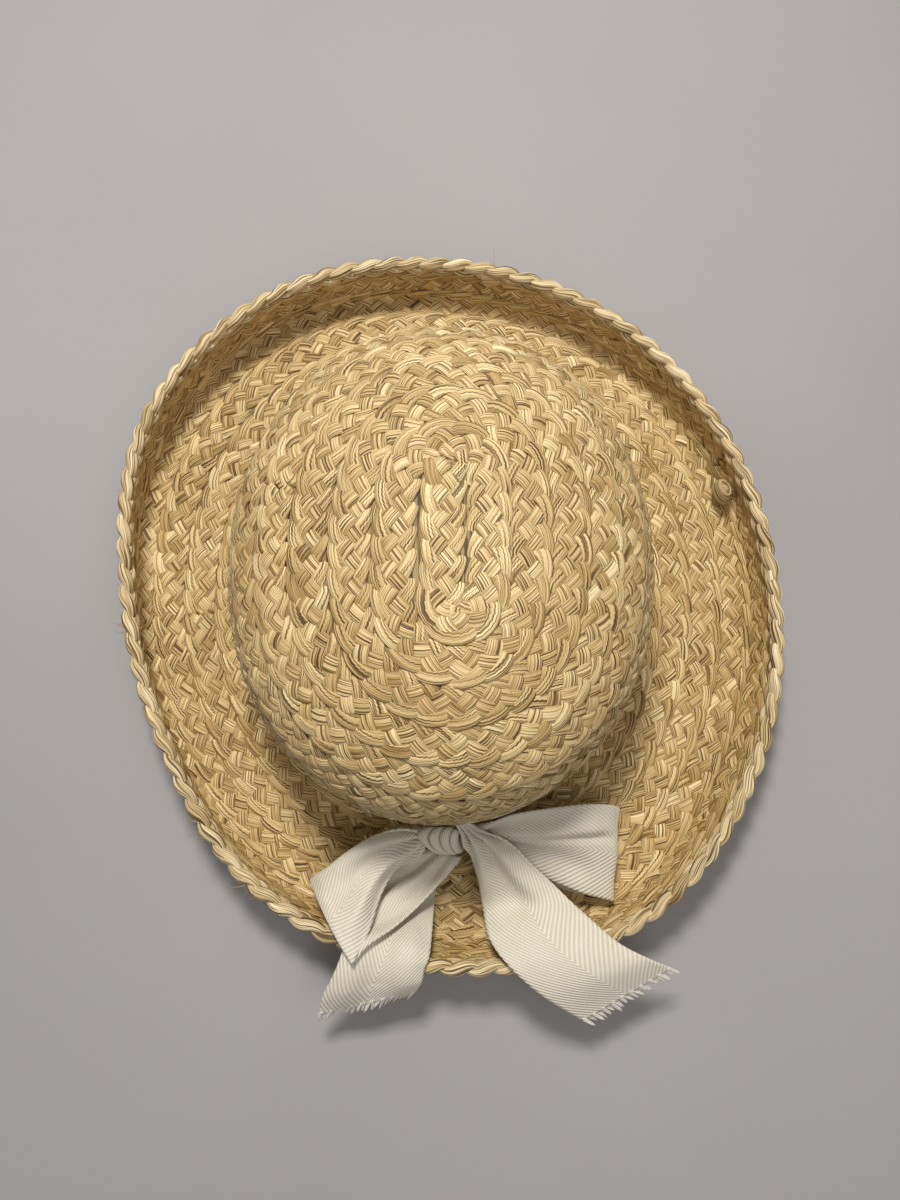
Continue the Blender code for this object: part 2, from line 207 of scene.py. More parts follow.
LEFT_TAIL = (
    (-6, -118.5, 17.5, 2, -119, 17.5, 0),
    (-21, -134, 8, -5, -136, 8, 0),
    (-33, -148, 10, -7, -145, 8, 1),
    (-42, -155, 29.5, -8, -158, 26, 0),
    (-45, -161, 33.6, -9, -165, 33, 0),
    (-49, -171, 33.4, -11, -170, 33.4, 0),
    (-54, -181, 29, -12, -175, 31, 0),
    (-57, -190, 21, -15, -180, 26, 0),
)
RIGHT_TAIL = (
    (5, -114, 35.5, 13, -111.5, 37, 0),
    (8, -123, 31, 25, -117, 36, 1),
    (13, -136, 19, 37, -129, 30, 2),
    (15, -146, 14, 51, -141, 26, 3),
    (17, -158, 27, 62, -151, 32, 2),
    (25, -168, 35.5, 72, -159, 34.5, 1),
    (39, -180, 34, 84, -165, 34, 1),
    (57, -192, 24, 95, -170, 28, 0),
)
TWILL_PITCH = 2.7 * MM
TWILL_LEAN = 1.4

# Folds laid along the loops: first and last station, side at each (-1 back, 1 front) and rise
RIGHT_LOOP_FOLD = (0.5, 4.6, -0.12, -0.40, 3.0 * MM)
LEFT_LOOP_FOLD = (0.4, 4.2, 0.15, 0.35, 1.4 * MM)

# How a laid fold begins and ends, and the sharpness of its edge, its hollow and the hollow's depth
FOLD_EARLY, FOLD_EASE = 0.6, 0.8
FOLD_EDGE, FOLD_HOLLOW, HOLLOW_DEPTH = 0.035, 0.09, 0.5

# Frayed ends, gathers and rolled ends of the ribbon
FRINGE_THREADS = 60
FRINGE_CLUMP = 3
FRINGE_LENGTH = 6.4 * MM
FRINGE_CLOSE = 0.55
THREAD_WIDTH = 0.6 * MM
THREAD_SIDES = 6
THREAD_STEPS = 7
THREAD_TAPER = 0.45
THREAD_CURL = 0.5 * MM
THREAD_STRAY = 0.12 * MM
THREAD_REACHES = (0.85, 1.05)
CLUMP_STRAY = 0.12
CLUMP_REACHES = (0.8, 1.12)
TUCK_LENGTH = 6 * MM
RIBBON_STEPS = 14
RIBBON_COLUMNS_ACROSS = 32
GATHER_REACH = 14 * MM
GATHER_DEPTH = 2.5 * MM
GATHER_FOLDS = 3.5
LONG_FOLDS = 1.6
FOLD_DEPTH = 1.8 * MM
FOLD_DRIFT = 25 * MM
FOLD_SWAY = 1.1
CALM_SHARE, CALM_REACH = 0.75, 0.12
END_REACH = 5 * MM
ROLL_REACH = 1.6 * MM
ROLL_DEPTH = 2.2 * MM

# Knot of the bow: its middle at the top, how far its foot lies from that, its half sizes and pleats
KNOT_STEPS = 72
KNOT_COLUMNS = 56
KNOT_MIDDLE = (-5.4 * MM, -113.8 * MM, 29.4 * MM)
KNOT_DRIFT = 6.6 * MM
KNOT_HALF_WIDTH = 9.2 * MM
KNOT_NARROWING = 4.6 * MM
KNOT_HALF_DEPTH = 4.6 * MM
KNOT_HALF_HEIGHT = 10.2 * MM
KNOT_SQUARENESS = 0.72
KNOT_PLEATS = 4
KNOT_PLEAT = 1.5 * MM
PLEAT_SWAY, PLEAT_TURN, PLEAT_CROWDING = 0.22, 0.6, 0.1

# Hat band: height over the brim and slack of the cloth, from its top edge to its bottom edge (mm)
BAND = ((37.7, 0.3), (33, 0.8), (27.2, 1.0), (20, 0.7), (13.2, 0.5), (6, 0.9), (0.9, 1.2))
BAND_STEPS = 240
BAND_CREASES = ((0.25 * MM, 9, 1), (0.2 * MM, 23, 2))
BAND_LIFT = 0.6 * MM

# Plait of the rim: three strands that stand on edge
RIM_STRANDS = 3
RIM_LOBE = 11.5 * MM
RIM_STEPS = 9
RIM_LEAN = 0.2
RIM_UPRIGHT = 0.9
RIM_SWING = 2.1 * MM
RIM_CROSSING = 1.2 * MM
RIM_JITTER = 0.05 * MM
RIM_STRAND_WIDTH = 4.8 * MM
RIM_THICKNESS = 3.3 * MM
RIM_SWELL = 2.4 * MM

# Wound end of the rim's plait: half width, half depth and half length of the winding and its core
WRAP_DEPTH = 8.5 * MM
WRAP_CLEAR = 5.9 * MM
WRAP_HALF = (5.6 * MM, 2.9 * MM, 6.2 * MM)
WRAP_TURNS = 7
WRAP_STEPS = 260
WRAP_STRAW = (2.6 * MM, 1.3 * MM)
WRAP_CORE = (5.4 * MM, 2.8 * MM, 6.8 * MM)
CORE_LENGTH, CORE_GIRTH = 14 * MM, 12 * MM
CORE_SIDES = 14
CORE_RINGS = 12

# Loose fibres: compass places in degrees, lengths in metres
FIBRE_WIDTH = 0.2 * MM
FIBRE_SPREAD = 0.03
FIBRE_BEND = 0.3
FIBRE_TAPER = 0.7
FIBRE_TONE = 0.9
RIM_FIBRES = 700
RIM_FIBRE_LENGTH = 3.2 * MM
RIM_ROOT = 2.0 * MM
FRAYS = (188.6, 225.6, 237.9)
FRAY_SPREAD = 0.9
FRAY_FIBRES = 26
FRAY_LENGTH = 6.5 * MM
FIBRE_SIDES = 4
FIBRE_STEPS = 5
PLAIT_FIBRES = 900
PLAIT_FIBRE_LENGTH = 3.2 * MM
BOW_START, BOW_END = 248, 302
BOW_BACK = -96 * MM
BOW_REACH = 95 * MM

# Stray straws on the rim: compass place, lean outwards, lean onwards and length
STRAY_STRAWS = (
    (83, 0.75, -0.65, 10 * MM),
    (84.5, -0.95, -0.3, 8 * MM),
    (60, -0.9, 0.4, 7 * MM),
)
STRAY_RISE = 0.25

# Steps of the tables that the plait is laid on
OUTLINE_STEPS = 200
TURN_STEPS = 360
ROW_STEPS_PER_ROW = 32
CREASE_STEPS = 24
SPARE_ROWS = 0.8
SMOOTH_STEPS = 7
SPIRAL_STEPS = 60000
RING_STEPS = 6000
RIM_LINE_STEPS = 4000
PATH_STEP = 1.0 * MM
SIDE_STEP = 0.8 * MM
SIDE_STEPS = 16

# Where the hat's axis stands: the crown is shifted to one side of it
LOW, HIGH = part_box("crown_side")
AXIS = np.array([(LOW[0] + HIGH[0]) / 2 - CROWN_SHIFT, (LOW[1] + HIGH[1]) / 2, 0.0])


# Shapes shared by the pieces

def metres(table, columns, column):
    """One column of a table that is kept in millimetres."""
    return np.array([row[columns.index(column)] for row in table]) * MM


def smooth_table(column, angle):
    """A column of the brim table at any compass angle, in metres."""
    values = metres(BRIM, BRIM_COLUMNS, column)
    count = len(BRIM)
    place = np.degrees(angle) % 360 / (360 / count)
    row = np.floor(place).astype(int)
    t = place - row
    before, start, end, after = (values[(row + n) % count] for n in (-1, 0, 1, 2))
    return curve_through(before, start, end, after, t)


def curve_through(before, start, end, after, t):
    """A value between start and end, on a smooth curve through the values before and after."""
    return 0.5 * (
        2 * start
        + (end - before) * t
        + (2 * before - 5 * start + 4 * end - after) * t * t
        + (3 * start - 3 * end + after - before) * t ** 3
    )


def oval_point(turn, reach, height):
    """Points on the crown's oval section, a circle stretched from front to back."""
    share = reach / CROWN_HALF_WIDTH
    stretch = CORE_STRETCH + (WIDEST_STRETCH - CORE_STRETCH) * share
    softness = 0.1 + 0.9 * share
    side = np.sin(turn)
    bulge = side * np.sqrt(1 + softness ** 2) / np.sqrt(side ** 2 + softness ** 2)
    x = reach * np.cos(turn) + CROWN_SHIFT * share
    return np.stack(np.broadcast_arrays(x, reach * side + stretch * bulge, height), axis=-1)


def compass(angle):
    """Level directions at compass angles: outward from the hat's axis, and onward round it."""
    cosine, sine, level = np.cos(angle), np.sin(angle), np.zeros_like(angle)
    return np.stack([cosine, sine, level], axis=-1), np.stack([-sine, cosine, level], axis=-1)


def crown_outline():
    """Reach and height of the middle of the crown's wall, from its top centre to its foot."""
    turn = np.linspace(0, math.pi / 2, OUTLINE_STEPS)
    power = 2 / DOME_ROUNDNESS
    reach = CROWN_HALF_WIDTH * np.sin(turn) ** power
    height = WIDEST_HEIGHT + (CROWN_HEIGHT - WIDEST_HEIGHT) * np.cos(turn) ** power
    fall = np.linspace(0, 1, OUTLINE_STEPS)[1:]
    reach = np.concatenate([reach, CROWN_HALF_WIDTH - BASE_PULL_IN * fall ** 1.5])
    height = np.concatenate([height, WIDEST_HEIGHT + (CROWN_FOOT - WIDEST_HEIGHT) * fall])
    points = np.stack([reach, height], axis=1)
    ahead = unit(np.gradient(points, axis=0))
    return points - np.stack([-ahead[:, 1], ahead[:, 0]], axis=1) * HALF_WALL


def unit(vectors):
    """Vectors of length one."""
    return vectors / np.maximum(np.linalg.norm(vectors, axis=-1, keepdims=True), 1e-12)


def dot(first, second):
    """Products of pairs of vectors."""
    return np.sum(first * second, axis=1)


def distances(points):
    """Distance of each point of a chain from its start."""
    steps = np.linalg.norm(np.diff(points, axis=0), axis=1)
    return np.concatenate([[0.0], np.cumsum(steps)])


def along(chain_distances, points, wanted):
    """Points of a chain at the wanted distances."""
    return np.stack([np.interp(wanted, chain_distances, column) for column in points.T], axis=1)


def brim_outline(angle, start):
    """Reach and height of the middle of the brim at one compass angle, with a spare end on top."""
    level = HALF_WALL + FLOOR_CLEARANCE
    crease = np.array([smooth_table("crease", angle), level])
    rim = np.array([smooth_table("rim", angle) - RIM_RADIUS, smooth_table("height", angle)])
    up = unit(rim - crease)
    top = rim - up * (RIM_RADIUS + GAP)
    before = crease - [CREASE_BEND, 0]
    after = crease + up * CREASE_BEND
    t = np.linspace(0, 1, CREASE_STEPS)[:, None]
    bend = before * (1 - t) ** 2 + crease * 2 * t * (1 - t) + after * t ** 2
    points = np.vstack([[start, level], bend, top])
    spare = top + up * SPARE_ROWS * ROW_PITCH
    return np.vstack([points, spare]), distances(points)[-1]


def hat_table(crown_rows, brim_rows):
    """Points all over the hat's middle surface, by turn and by row of plait from its centre."""
    outline = crown_outline()
    crown_places = distances(outline)
    crown_share = np.linspace(0, 1, int(crown_rows * ROW_STEPS_PER_ROW), endpoint=False)
    crown = along(crown_places, outline, crown_share * crown_places[-1])
    crown_row = crown_share * crown_rows
    brim_row = crown_rows + np.arange(0, brim_rows + SPARE_ROWS, 1 / ROW_STEPS_PER_ROW)
    window = np.ones(2 * SMOOTH_STEPS + 1) / (2 * SMOOTH_STEPS + 1)
    grid = []
    for turn in np.linspace(0, math.tau, TURN_STEPS, endpoint=False):
        upper = oval_point(turn, crown[:, 0], crown[:, 1])
        foot = oval_point(turn, outline[-1, 0], CROWN_FOOT)
        angle = math.atan2(foot[1], foot[0])
        chain, length = brim_outline(angle, math.hypot(foot[0], foot[1]))
        wanted = (brim_row - crown_rows) / brim_rows * length
        flat = along(distances(chain), chain, wanted)
        lower = compass(angle)[0] * flat[:, :1] + UP * flat[:, 1:]
        line = np.vstack([upper, lower])
        padded = np.pad(line, ((SMOOTH_STEPS, SMOOTH_STEPS), (0, 0)), mode="reflect", reflect_type="odd")
        grid.append(np.stack([np.convolve(column, window, mode="valid") for column in padded.T], axis=1))
    rows = np.concatenate([crown_row, brim_row])
    even = np.arange(0, rows[-1], 1 / ROW_STEPS_PER_ROW)
    return np.array([along(rows, line, even) for line in grid])


def between(grid, near, far, a, line, b):
    """Points between four points of a grid."""
    first = grid[near, line] * (1 - b) + grid[near, line + 1] * b
    second = grid[far, line] * (1 - b) + grid[far, line + 1] * b
    return first * (1 - a) + second * a


def whole_and_rest(place):
    """The whole number below a place, and what is left over."""
    whole = np.floor(place).astype(int)
    return whole, (place - whole)[..., None]


def on_table(table, turn, row):
    """Points of a table of the hat's surface at any turn and row."""
    column, a = whole_and_rest(turn / math.tau * TURN_STEPS)
    line, b = whole_and_rest(np.clip(row * ROW_STEPS_PER_ROW, 0, table.shape[1] - 1.001))
    return between(table, column % TURN_STEPS, (column + 1) % TURN_STEPS, a, line, b)


def row_of(turn):
    """The row that the middle of the sewn spiral has reached after a turn."""
    turns = turn / math.tau
    return turns - SPIRAL_LAG * (1 - np.cos(turn)) / 2 - CORE_SHIFT * np.clip(1.5 - turns, 0, 1)


def slopes(table, turn, row):
    """How the surface runs with the turn and with the row at a place."""
    step_turn = math.tau / TURN_STEPS
    step_row = 1 / ROW_STEPS_PER_ROW
    by_turn = on_table(table, turn + step_turn, row) - on_table(table, turn - step_turn, row)
    by_row = on_table(table, turn, row + step_row) - on_table(table, turn, row - step_row)
    return by_turn / (2 * step_turn), by_row / (2 * step_row)


def lane(table, turns, rows):
    """A flat lane of surface along a path: points from side to side at each step of the path."""
    fine = on_table(table, turns, rows)
    places = distances(fine)
    wanted = np.arange(0, places[-1], PATH_STEP)
    turns = np.interp(wanted, places, turns)
    rows = np.interp(wanted, places, rows)
    centre = on_table(table, turns, rows)
    ahead = unit(np.gradient(centre, axis=0))
    by_turn, by_row = slopes(table, turns, rows)
    normal = unit(np.cross(by_row, by_turn))
    outward = unit(np.cross(ahead, normal))
    bent = np.clip((rows - STRAIGHT_ROWS) / BLEND_ROWS, 0, 1)[:, None]
    sides = []
    for sign in (-1, 1):
        turn, row = turns, rows
        heading = outward * sign
        line = []
        for k in range(SIDE_STEPS):
            by_turn, by_row = slopes(table, turn, row)
            square = unit(np.cross(by_row, by_turn))
            heading = unit(heading - square * dot(heading, square)[:, None])
            turns_squared, rows_squared = dot(by_turn, by_turn), dot(by_row, by_row)
            shared = dot(by_turn, by_row)
            turn_part, row_part = dot(by_turn, heading) * SIDE_STEP, dot(by_row, heading) * SIDE_STEP
            area = np.maximum(turns_squared * rows_squared - shared * shared, 1e-18)
            turn = turn + (turn_part * rows_squared - row_part * shared) / area
            row = row + (row_part * turns_squared - turn_part * shared) / area
            spot = on_table(table, turn, row)
            straight = centre + outward * sign * SIDE_STEP * (k + 1)
            line.append(spot * bent + straight * (1 - bent))
        sides.append(line)
    grid = np.array(sides[0][::-1] + [centre] + sides[1]).transpose(1, 0, 2)
    return wanted, grid


def on_lane(grid, distance, side):
    """Points of a lane at any distance along it and any distance to its side."""
    i, a = whole_and_rest(np.clip(distance / PATH_STEP, 0, grid.shape[0] - 1.001))
    j, b = whole_and_rest(np.clip(side / SIDE_STEP + SIDE_STEPS, 0, grid.shape[1] - 1.001))
    return between(grid, i, i + 1, a, j, b)


def lane_normals(grid):
    """Directions square to a lane, on its outer face."""
    ahead = np.gradient(grid, axis=0)
    outward = np.gradient(grid, axis=1)
    return unit(np.cross(outward, ahead))


def wander(draw, count, step, size):
    """A slow random curve of a given size."""
    knots = draw.normal(0, size, int(count / step) + 3)
    return np.interp(np.arange(count), np.arange(len(knots)) * step, knots)


def swing_across(phase):
    """How far across the plait a strand is, from -1 to 1: it turns sharply at each edge."""
    fine = np.linspace(0, 1, 201)
    slope = np.interp(fine, CROSSING_PLACES, CROSSING_SLOPES)
    travel = np.cumsum(slope) - slope[0]
    travel = travel / travel[-1]
    share = ((phase - math.pi / 2) / math.pi) % 2
    outbound = 1 - 2 * np.interp(share, fine, travel)
    homebound = 2 * np.interp(share - 1, fine, travel) - 1
    return np.where(share < 1, outbound, homebound)


def weave_height(crossing):
    """Height of a strand of the plait, from one below to one above, by crossings since an edge."""
    places, heights = np.array(WEAVE_PLACES), np.array(WEAVE_HEIGHTS)
    step = crossing % 10
    k = np.searchsorted(places, step, side="right") - 1
    share = (step - places[k]) / (places[k + 1] - places[k])
    return heights[k] + (heights[k + 1] - heights[k]) * (1 - np.cos(math.pi * share)) / 2


def strand_rings(centre, side, normal, width, thickness, sides=STRAND_SIDES, ridge=0.0):
    """Rings of a flat strand round its middle line, with the ridges of its fibres."""
    turn = math.tau * np.arange(sides) / sides
    wide = np.sign(np.cos(turn)) * np.abs(np.cos(turn)) ** 0.8
    deep = np.sign(np.sin(turn)) * np.abs(np.sin(turn)) ** 0.85
    deep = deep * (1 + ridge * np.where(np.arange(sides) % 2, 1, -1))
    across = side[:, None, :] * (wide[None, :, None] * width[:, None, None] / 2)
    outward = normal[:, None, :] * (deep[None, :, None] * thickness[:, None, None] / 2)
    return centre[:, None, :] + across + outward


def frames(centre, normal):
    """Side and outward directions of a strand that runs through the given points."""
    ahead = unit(np.gradient(centre, axis=0))
    side = unit(np.cross(ahead, normal))
    return side, unit(np.cross(side, ahead))


def plait_strands(grid, start, end, tilt, seed):
    """Every strand of a five-strand plait on a lane, as rings with their lengths and tones."""
    draw = np.random.default_rng(seed)
    normals = lane_normals(grid)
    period = LOBE_PITCH * STRANDS
    crossing = period / 10
    step = crossing / STEPS_PER_CROSSING
    distance = np.arange(start, end, step)
    count = len(distance)
    drift = wander(draw, count, *DRIFT)
    reach = PLAIT_WIDTH / 2 - EDGE_WIDTH / 2
    strands = []
    for k in range(STRANDS):
        phase = math.tau * (distance / period + k / STRANDS)
        phase = phase + wander(draw, count, *UNEVEN_PHASE)
        swing = swing_across(phase)
        sideways = reach * swing * (1 + wander(draw, count, *UNEVEN_SWING)) + drift
        crossings = (phase / math.tau * 10 + 2.5) % 10
        height = WEAVE_LIFT * weave_height(crossings) + tilt * sideways / PLAIT_WIDTH
        height = height + wander(draw, count, *UNEVEN_HEIGHT)
        normal = unit(on_lane(normals, distance, sideways))
        centre = on_lane(grid, distance, sideways) + normal * height[:, None]
        side, outward = frames(centre, normal)
        fullness = 1 - np.abs(swing) ** 3
        width = EDGE_WIDTH + (STRAND_WIDTH - EDGE_WIDTH) * fullness
        width = width * (1 + wander(draw, count, *UNEVEN_WIDTH))
        thickness = np.full(count, STRAND_THICKNESS)
        rings = strand_rings(centre, side, outward, width, thickness, STRAND_SIDES, STRAND_RIDGE)
        tone = 0.5 + wander(draw, count, *UNEVEN_TONE) + wander(draw, count, *STREAKS)
        strands.append((rings, distance * 1.2 + k * 3.7, width, np.clip(tone, 0, 1)))
    return strands


# Meshes

def ring_faces(count, sides, closed):
    """Places of the faces between rings of points, and the four corners of each face."""
    i, j = np.meshgrid(np.arange(count if closed else count - 1), np.arange(sides), indexing="ij")
    next_i, next_j = (i + 1) % count, (j + 1) % sides
    corners = (i * sides + j, i * sides + next_j, next_i * sides + next_j, next_i * sides + j)
    return i, j, next_i, next_j, np.stack(corners, -1).reshape(-1, 4)


def end_faces(count, sides):
    """Places across a flat ring, and the faces that close the first ring and the last."""
    j = np.arange(sides // 2 - 1)
    cap = np.stack([j, j + 1, sides - 2 - j, sides - 1 - j], -1)
    return j, cap, cap + (count - 1) * sides


def tube_mesh(name, strands, closed=False):
    """One mesh from many strands, with fibre coordinates along and across each strand."""
    points, quads, loops_uv, tones = [], [], [], []
    base = 0
    for rings, lengths, width, tone in strands:
        count, sides = rings.shape[:2]
        points.append(rings.reshape(-1, 3))
        tones.append(np.repeat(tone, sides))
        i, j, next_i, _, corners = ring_faces(count, sides, closed)
        quads.append(corners[:, ::-1] + base)
        across = np.stack([j, j + 1, j + 1, j], -1) / sides
        girth = width[i][..., None] * 2.1
        lengthwise = np.stack([lengths[i], lengths[i], lengths[next_i], lengths[next_i]], -1)
        uv = np.stack([lengthwise, across * girth], -1)
        loops_uv.append(uv.reshape(-1, 4, 2)[:, ::-1])
        if not closed:
            j, first, last = end_faces(count, sides)
            quads += [first + base, last[:, ::-1] + base]
            loops_uv += [np.zeros((len(j), 4, 2))] * 2
        base += count * sides
    parts = (points, quads, loops_uv, tones)
    return quad_mesh(name, *(np.concatenate(part) for part in parts))


def quad_mesh(name, points, quads, loops_uv, tones):
    """A mesh object of four-sided faces with fibre coordinates and a tone at each point."""
    mesh = bpy.data.meshes.new(name)
    mesh.vertices.add(len(points))
    mesh.vertices.foreach_set("co", (points + AXIS).astype(np.float32).ravel())
    mesh.loops.add(quads.size)
    mesh.loops.foreach_set("vertex_index", quads.astype(np.int32).ravel())
    mesh.polygons.add(len(quads))
    mesh.polygons.foreach_set("loop_start", np.arange(0, quads.size, 4, dtype=np.int32))
    mesh.polygons.foreach_set("use_smooth", np.ones(len(quads), dtype=bool))
    layer = mesh.uv_layers.new(name="fibres")
    layer.uv.foreach_set("vector", loops_uv.astype(np.float32).ravel())
    tone = mesh.attributes.new("tone", "FLOAT", "POINT")
    tone.data.foreach_set("value", tones.astype(np.float32))
    mesh.update(calc_edges=True)
    mesh.validate()
    return new_object(name, mesh)


def new_object(name, data):
    """A new object in the scene."""
    thing = bpy.data.objects.new(name, data)
    bpy.context.collection.objects.link(thing)
    return thing


def place_piece(piece, material, nodes=()):
    """Give a piece its material and body, and hide the model nodes it stands for."""
    piece.data.materials.append(material)
    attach(piece, "root")
    if nodes:
        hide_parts(*nodes)
    return piece


# Materials

class Nodes:
    """Short calls for building one material."""

    def __init__(self, name):
        self.material = bpy.data.materials.new(name)
        self.material.use_nodes = True
        self.tree = self.material.node_tree
        self.shader = self.tree.nodes["Principled BSDF"]

    def add(self, kind, inputs, **settings):
        """A new node, with its settings and then its inputs."""
        node = self.tree.nodes.new(kind)
        for key, value in settings.items():
            setattr(node, key, value)
        self.give(node, inputs)
        return node

    def give(self, node, inputs):
        """Fill a node's inputs, each with a number, a vector, a colour or another node's output."""
        for key, value in inputs.items():
            socket = node.inputs[key]
            if isinstance(value, tuple):
                socket.default_value = (*value, 1.0) if socket.type == "RGBA" else value
            elif isinstance(value, (int, float)):
                socket.default_value = value
            else:
                self.tree.links.new(value, socket)

    def finish(self, inputs):
        """The material, with its shader's inputs filled."""
        self.give(self.shader, inputs)
        return self.material

    def tone(self):
        """The tone that is kept at each point of a mesh."""
        return self.add("ShaderNodeAttribute", {}, attribute_name="tone").outputs["Fac"]

    def fibres(self):
        """The fibre coordinates."""
        return self.add("ShaderNodeUVMap", {}, uv_map="fibres").outputs["UV"]

    def coordinates(self, scale):
        """The fibre coordinates, scaled lengthwise and across."""
        inputs = {"Vector": self.fibres(), "Scale": scale}
        return self.add("ShaderNodeMapping", inputs).outputs["Vector"]

    def place(self):
        """Places in the object's own space."""
        return self.add("ShaderNodeTexCoord", {}).outputs["Object"]

    def apart(self, vector):
        """The three values of a vector."""
        return self.add("ShaderNodeSeparateXYZ", {"Vector": vector}).outputs

    def noise(self, vector, scale, detail=2.0, roughness=0.5):
        """A noise value."""
        inputs = {"Vector": vector, "Scale": scale, "Detail": detail, "Roughness": roughness}
        return self.add("ShaderNodeTexNoise", inputs).outputs["Fac"]

    def ramp(self, value, stops):
        """A colour for each value, between stops of place and colour."""
        node = self.add("ShaderNodeValToRGB", {"Fac": value})
        elements = node.color_ramp.elements
        while len(elements) < len(stops):
            elements.new(0.5)
        for element, (place, colour) in zip(elements, stops):
            element.position = place
            element.color = (*colour, 1.0)
        return node.outputs["Color"]

    def mix(self, kind, share, first, second):
        """Two colours mixed by a share."""
        inputs = {"Factor": share, "A": first, "B": second}
        return self.add("ShaderNodeMix", inputs, data_type="RGBA", blend_type=kind).outputs["Result"]

    def multiply(self, first, second):
        """The product of two values."""
        return self.number("MULTIPLY", first, second)

    def number(self, operation, first, second=0.0):
        """A sum on two values."""
        return self.add("ShaderNodeMath", {0: first, 1: second}, operation=operation).outputs["Value"]

    def share(self, value, start, end):
        """A share from 0 to 1 as a value goes from start to end."""
        inputs = {"Value": value, "From Min": start, "From Max": end}
        return self.add("ShaderNodeMapRange", inputs, interpolation_type="SMOOTHSTEP").outputs["Result"]

    def bump(self, height, strength, distance, below=None):
        """A bump from a height, on top of another bump."""
        inputs = {"Height": height, "Strength": strength, "Distance": distance}
        if below is not None:
            inputs["Normal"] = below
        return self.add("ShaderNodeBump", inputs).outputs["Normal"]


def weathered_and_shaded(kit, colour):
    """The crown's lowest rows: greyed on the left by wear, and darkened at the front by painted shade."""
    place = kit.place()
    sides = kit.apart(place)
    low = kit.share(sides["Z"], *WEAR_AND_SHADE_HEIGHT)
    front = kit.share(sides["Y"], *WEAR_AND_SHADE_SIDE)
    left = kit.share(sides["X"], *WEAR_AND_SHADE_SIDE)
    patchy = kit.share(kit.noise(place, 140.0, 3.0, 0.6), 0.35, 0.6)
    grey = kit.multiply(kit.multiply(low, left), kit.multiply(patchy, GREY_SHARE))
    colour = kit.mix("MIX", grey, colour, WORN_GREY)
    # Painted shade: the lowest rows at the front are darkened
    painted_shade = kit.multiply(kit.multiply(low, front), PAINTED_SHADE_SHARE)
    return kit.mix("MULTIPLY", painted_shade, colour, PAINTED_SHADE_COLOUR)


def straw_material(name, colours, roughness=0.6, worn_and_shaded=False):
    """Raffia fibres: fine lines along each strand, and a tone of its own for each strand."""
    kit = Nodes(name)
    pale, middle, dark = colours
    fine = kit.noise(kit.coordinates((24.0, 2500.0, 1.0)), 1.0, 2.0, 0.6)
    broad = kit.noise(kit.coordinates((14.0, 420.0, 1.0)), 1.0, 2.0, 0.5)
    colour = kit.ramp(kit.tone(), ((0.15, dark), (0.5, middle), (0.85, pale)))
    colour = kit.mix("MULTIPLY", 0.95, colour, kit.ramp(fine, LINE_COLOURS))
    colour = kit.mix("MULTIPLY", 0.6, colour, kit.ramp(broad, BAND_COLOURS))
    # Worn grey on the left and painted shade at the front of the crown's lowest rows
    if worn_and_shaded:
        colour = weathered_and_shaded(kit, colour)
    return kit.finish({
        "Base Color": colour,
        "Roughness": roughness,
        "Specular IOR Level": 0.4,
        "Normal": kit.bump(fine, 0.8, 0.5 * MM, kit.bump(broad, 0.6, 0.8 * MM)),
    })


def floor_material():
    """A grey matt floor."""
    kit = Nodes("floor_paint")
    cloud = kit.noise(kit.place(), 3.0, 3.0, 0.5)
    return kit.finish({"Base Color": kit.ramp(cloud, FLOOR_COLOURS), "Roughness": 0.8})


# Camera, light and floor

def camera():
    """The camera at the photograph's angle: nearly straight down, a little from the bow's side."""
    data = bpy.data.cameras.new("camera")
    data.lens = CAMERA_LENS
    data.sensor_width = CAMERA_SENSOR
    data.sensor_fit = "AUTO"
    data.clip_start = 0.01
    thing = new_object("camera", data)
    thing.location = (AXIS[0], AXIS[1] - CAMERA_FORWARD, CAMERA_HEIGHT)
    thing.rotation_euler = (CAMERA_TILT, 0, 0)
    bpy.context.scene.camera = thing


def area_light(name, place, size, power, colour):
    """A soft square light that faces the hat."""
    data = bpy.data.lights.new(name, "AREA")
    data.shape = "SQUARE"
    data.size = size
    data.energy = power
    data.color = colour
    thing = new_object(name, data)
    thing.location = place
    aim = Vector((AXIS[0], AXIS[1], LAMP_AIM)) - Vector(place)
    thing.rotation_euler = aim.to_track_quat("-Z", "Y").to_euler()


def studio():
    """Plain soft light, a pale surround and a grey floor."""
    world = bpy.data.worlds.new("surround")
    bpy.context.scene.world = world
    world.use_nodes = True
    background = world.node_tree.nodes["Background"]
    background.inputs["Color"].default_value = SURROUND_COLOUR
    background.inputs["Strength"].default_value = SURROUND_STRENGTH
    for lamp in LAMPS:
        area_light(*lamp)
    bpy.context.scene.view_settings.view_transform = "Standard"
    mesh = bpy.data.meshes.new("floor")
    corners = [(x * FLOOR_HALF, y * FLOOR_HALF, 0) for x, y in ((-1, -1), (1, -1), (1, 1), (-1, 1))]
    mesh.from_pydata(corners, [], [(0, 1, 2, 3)])
    floor = new_object("floor", mesh)
    floor.location.z = -FLOOR_DROP
    floor.data.materials.append(floor_material())


# Plait of the crown and the brim

